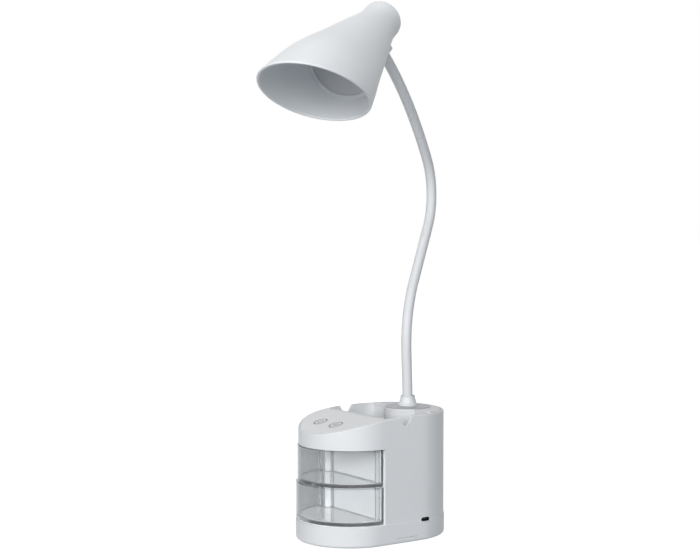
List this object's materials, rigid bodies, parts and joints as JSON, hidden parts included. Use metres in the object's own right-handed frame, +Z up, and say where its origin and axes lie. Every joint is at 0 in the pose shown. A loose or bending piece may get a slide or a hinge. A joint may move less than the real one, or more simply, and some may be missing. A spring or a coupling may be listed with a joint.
{
  "type": "desk lamp with drawer base",
  "caption": "Flexible-neck desk lamp on a storage base: open cone head, touch panel, rear pen pocket with phone notches, and two clear trays that swing out of the front.",
  "frame": {"origin": "middle of the base's footprint, on the plane its rubber feet stand on", "axes": "+Z up, front of the base (round end with the trays) at -Y, +X to the right seen from the front"},
  "size_m": [0.1747, 0.2415, 0.4105],
  "materials": {
    "white_shell": "satin",
    "white_deck": "satin",
    "panel_white": "semi-gloss",
    "disc_grey": "satin",
    "white_metal": "satin",
    "white_silicone": "matte",
    "zinc_steel": "brushed",
    "post_white": "glossy",
    "clear_plastic": "clear, glossy",
    "nylon": "matte",
    "shade_white": "satin",
    "heat_spreader": "satin",
    "board_white": "matte",
    "board_green": "satin",
    "chip_yellow": "glossy",
    "diffuser_milk": "translucent, matte",
    "ring_white": "satin",
    "battery_wrap": "foil, satin",
    "foot_rubber": "matte"
  },
  "bodies": {
    "base": {"base_tray": "white_shell", "bottom_cover": "white_shell", "housing": "white_shell", "deck_cap": "white_deck", "neck_flange": "disc_grey", "neck_collar": "white_metal", "neck_stud": "zinc_steel", "neck_washer": "zinc_steel", "neck_nut": "zinc_steel", "neck_link_1": "white_silicone", "pivot_post": "post_white", "post_washers": "nylon", "touch_panel": "panel_white", "touch_board": "board_green", "battery_pack": "battery_wrap", "main_board": "board_green", "charging_port": "zinc_steel", "rubber_feet": "foot_rubber", "case_screws": "zinc_steel", "cover_screws": "zinc_steel"},
    "drawer_lower": {"drawer_lower": "clear_plastic"},
    "drawer_upper": {"drawer_upper": "clear_plastic"},
    "neck_2": {"neck_link_2": "white_silicone"},
    "neck_3": {"neck_link_3": "white_silicone"},
    "neck_4": {"neck_link_4": "white_silicone"},
    "neck_5": {"neck_link_5": "white_silicone"},
    "head": {"neck_link_6": "white_silicone", "neck_socket": "shade_white", "shade": "shade_white", "light_carrier": "heat_spreader", "light_board": "board_white", "light_chips": "chip_yellow", "light_screws": "zinc_steel", "diffuser": "diffuser_milk", "diffuser_ring": "ring_white"}
  },
  "joints": [
    {"name": "drawer_lower_swing", "type": "hinge", "parent": "base", "child": "drawer_lower", "pos_m": [-0.0346, -0.0166, 0.0315], "axis": [0, 0, -1], "range_deg": [0, 80]},
    {"name": "drawer_upper_swing", "type": "hinge", "parent": "base", "child": "drawer_upper", "pos_m": [-0.0346, -0.0166, 0.0599], "axis": [0, 0, -1], "range_deg": [0, 80]},
    {"name": "neck_foot_bend", "type": "hinge", "parent": "base", "child": "neck_2", "pos_m": [0.0017, 0.03339, 0.14608], "axis": [0.848, 0.5299, 0], "range_deg": [-20, 20]},
    {"name": "neck_lower_sway", "type": "hinge", "parent": "neck_2", "child": "neck_3", "pos_m": [-0.00689, 0.04713, 0.1976], "axis": [0.4279, -0.6848, 0.5899], "range_deg": [-20, 20]},
    {"name": "neck_middle_bend", "type": "hinge", "parent": "neck_3", "child": "neck_4", "pos_m": [-0.02408, 0.07464, 0.24202], "axis": [0.848, 0.5299, 0], "range_deg": [-20, 20]},
    {"name": "neck_upper_sway", "type": "hinge", "parent": "neck_4", "child": "neck_5", "pos_m": [-0.02347, 0.07367, 0.2935], "axis": [0.4228, -0.6766, -0.6029], "range_deg": [-20, 20]},
    {"name": "neck_head_bend", "type": "hinge", "parent": "neck_5", "child": "head", "pos_m": [-0.00314, 0.04113, 0.3328], "axis": [0.848, 0.5299, 0], "range_deg": [-20, 20]}
  ]
}
